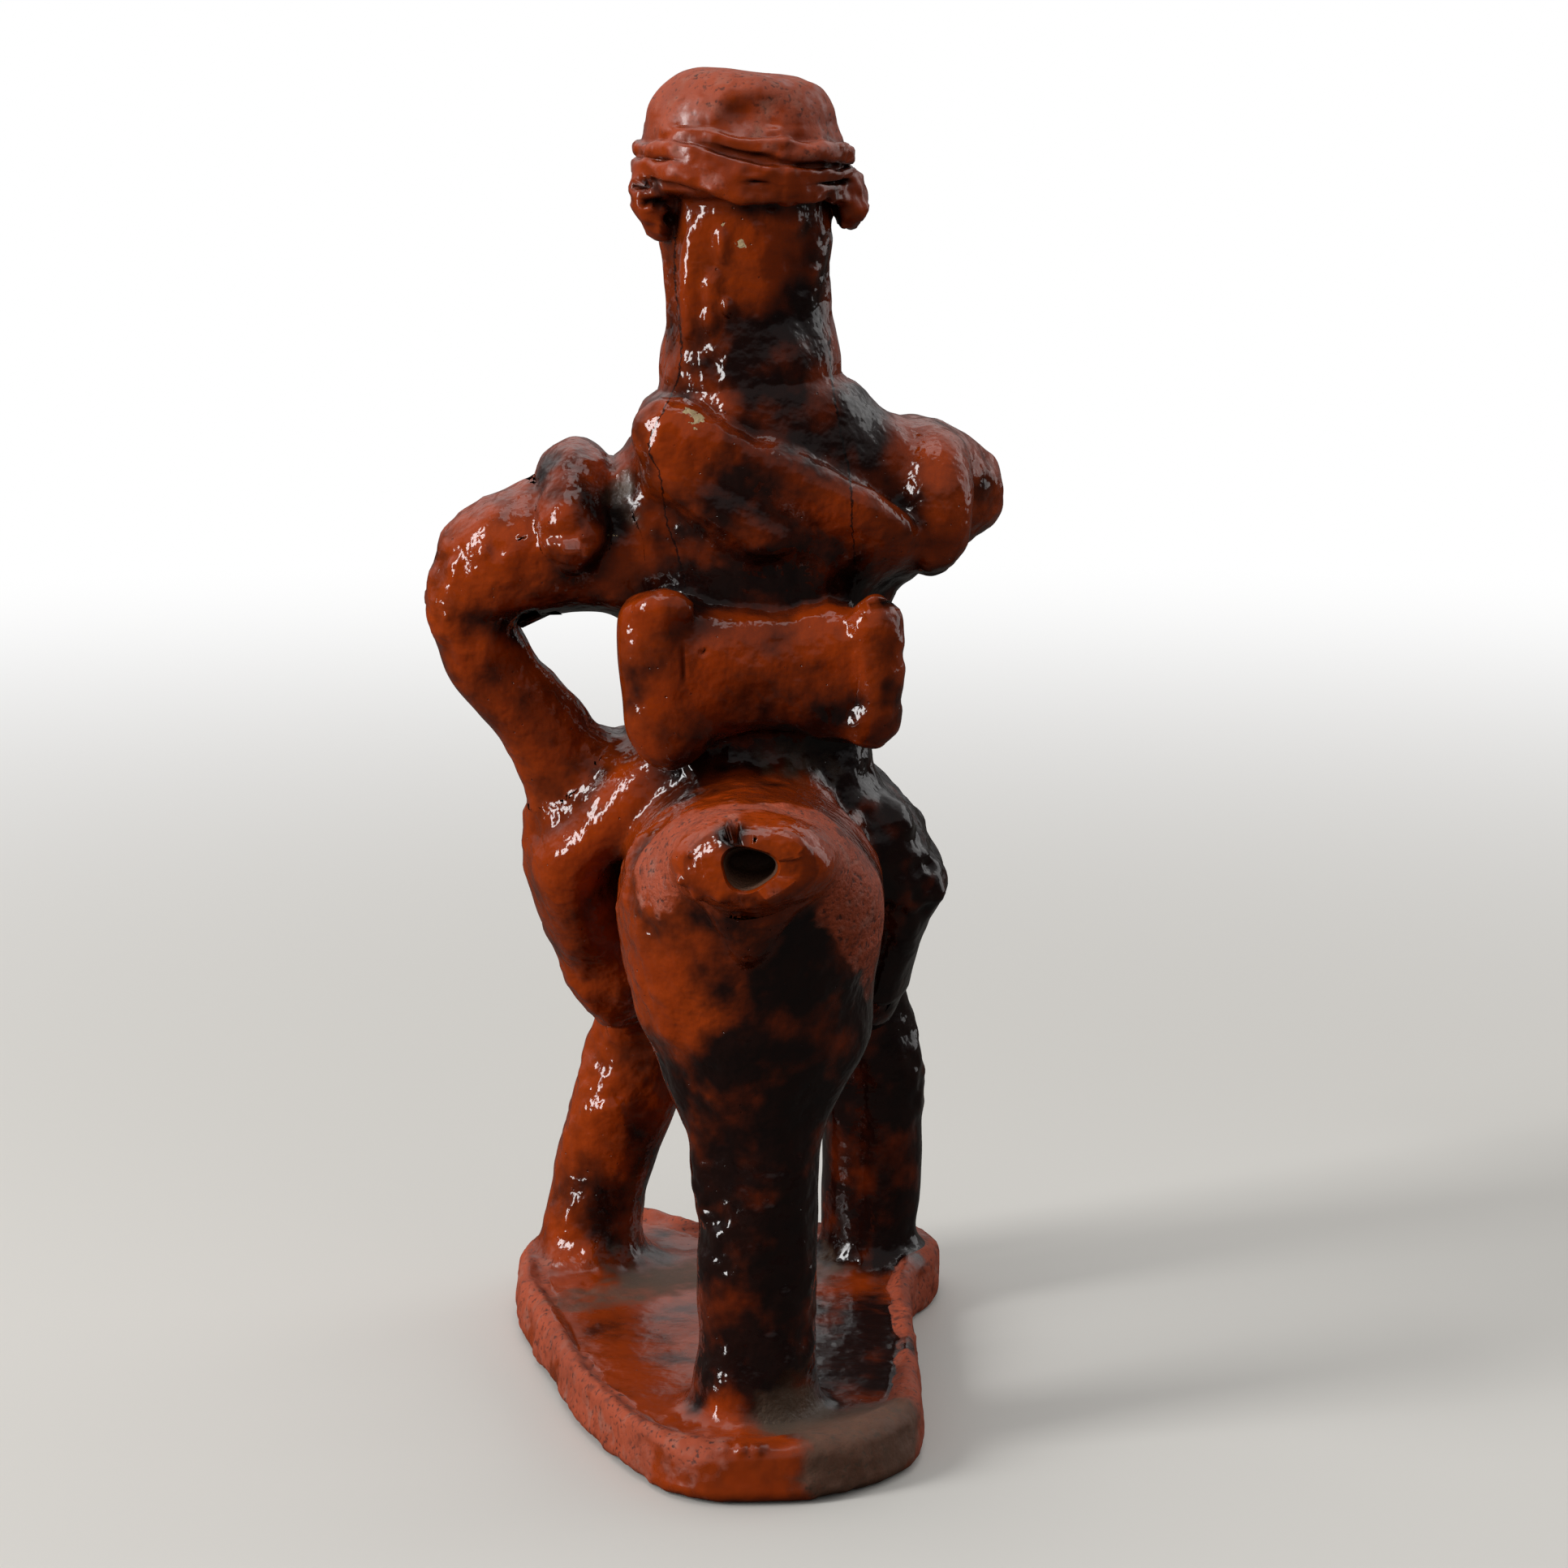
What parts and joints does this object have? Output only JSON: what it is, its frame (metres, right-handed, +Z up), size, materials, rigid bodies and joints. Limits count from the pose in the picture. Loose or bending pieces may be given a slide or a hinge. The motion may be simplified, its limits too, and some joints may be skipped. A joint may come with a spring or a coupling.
{
  "type": "horse and rider whistle",
  "caption": "Hand-built clay whistle shaped as a capped rider on a hollow horse, blown at the tail, on a flat slab, under brown glaze.",
  "frame": {"origin": "underside of the base slab, below the rider's seat", "axes": "+Z up, +Y the way the horse faces, +X the rider's right"},
  "size_m": [0.0774, 0.1306, 0.18],
  "materials": {
    "orange_glaze": "gloss",
    "brown_glaze": "gloss",
    "dark_glaze": "gloss",
    "dull_clay": "satin"
  },
  "bodies": {
    "root": {"base_slab": "dull_clay", "horse_body": "orange_glaze", "whistle_mouthpiece": "orange_glaze", "hind_leg": "brown_glaze", "left_foreleg": "orange_glaze", "right_foreleg": "dark_glaze", "horse_neck": "brown_glaze", "horse_head": "orange_glaze", "mane": "dark_glaze", "horse_left_ear": "orange_glaze", "horse_right_ear": "orange_glaze", "rider_torso": "brown_glaze", "left_coat_skirt": "orange_glaze", "right_coat_skirt": "dark_glaze", "left_leg": "orange_glaze", "right_leg": "dark_glaze", "rider_head": "brown_glaze", "cap_crown": "dull_clay", "cap_band_1": "dull_clay", "cap_band_2": "dull_clay", "cap_band_3": "dull_clay", "cap_left_lappet": "dull_clay", "cap_right_lappet": "dull_clay", "blanket_roll": "brown_glaze", "knapsack_panel": "brown_glaze", "knapsack_left_roll": "brown_glaze", "knapsack_right_roll": "brown_glaze", "left_arm": "orange_glaze", "right_arm": "orange_glaze", "left_epaulette": "orange_glaze", "right_epaulette": "orange_glaze"}
  },
  "joints": []
}
